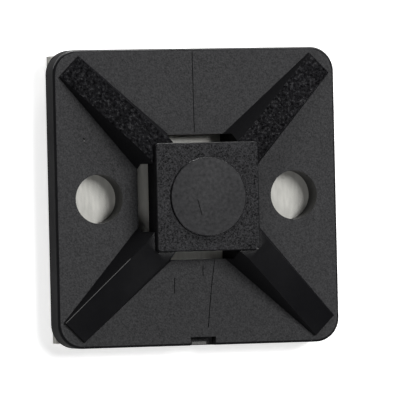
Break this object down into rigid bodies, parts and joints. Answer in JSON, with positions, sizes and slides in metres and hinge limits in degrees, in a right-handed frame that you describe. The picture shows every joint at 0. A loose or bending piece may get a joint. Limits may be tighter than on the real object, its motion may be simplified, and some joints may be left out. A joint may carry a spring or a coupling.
{
  "type": "cable tie mount",
  "caption": "Square adhesive cable tie mount: black moulded base, diagonal ribs up to a raised hub over crossing tie ways, screw holes, foam tape and liner.",
  "frame": {"origin": "middle of the release liner's underside, on the surface the mount is stuck to", "axes": "+Z out of the hub, away from the surface; X through the two screw holes; the gate notch is on the -Y side"},
  "size_m": [0.028, 0.028, 0.0067],
  "materials": {
    "black_nylon": "black nylon, spark-eroded texture",
    "foam_tape": "white polyethylene foam, double-sided adhesive",
    "liner_paper": "glazed release paper"
  },
  "bodies": {
    "root": {"mount_body": "black_nylon", "foam_pad": "foam_tape", "release_liner": "liner_paper"}
  },
  "joints": []
}
